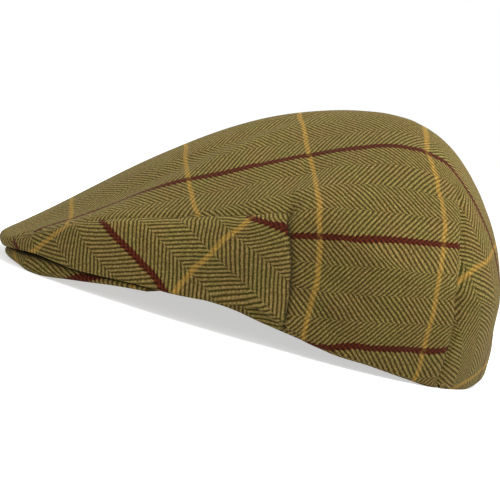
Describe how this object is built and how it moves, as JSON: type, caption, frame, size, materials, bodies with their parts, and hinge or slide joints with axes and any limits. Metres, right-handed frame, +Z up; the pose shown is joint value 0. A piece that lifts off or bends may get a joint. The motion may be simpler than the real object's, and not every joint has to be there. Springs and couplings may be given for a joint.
{
  "type": "flat cap",
  "caption": "Flat cap of herringbone tweed with a windowpane check: rounded crown, low nose over a short stiff peak, open underneath for a head.",
  "frame": {"origin": "on the table under the middle of the cap", "axes": "+Z up, peak towards -Y, the wearer's left towards +X"},
  "size_m": [0.1908, 0.273, 0.1268],
  "materials": {
    "crown_tweed": "matte wool herringbone with red and gold check lines",
    "side_tweed": "the same wool cut on the bias",
    "peak_tweed": "the same wool over a stiff board"
  },
  "bodies": {
    "root": {"crown_panel": "crown_tweed", "side_panel_left": "side_tweed", "side_panel_right": "side_tweed", "peak": "peak_tweed"}
  },
  "joints": []
}
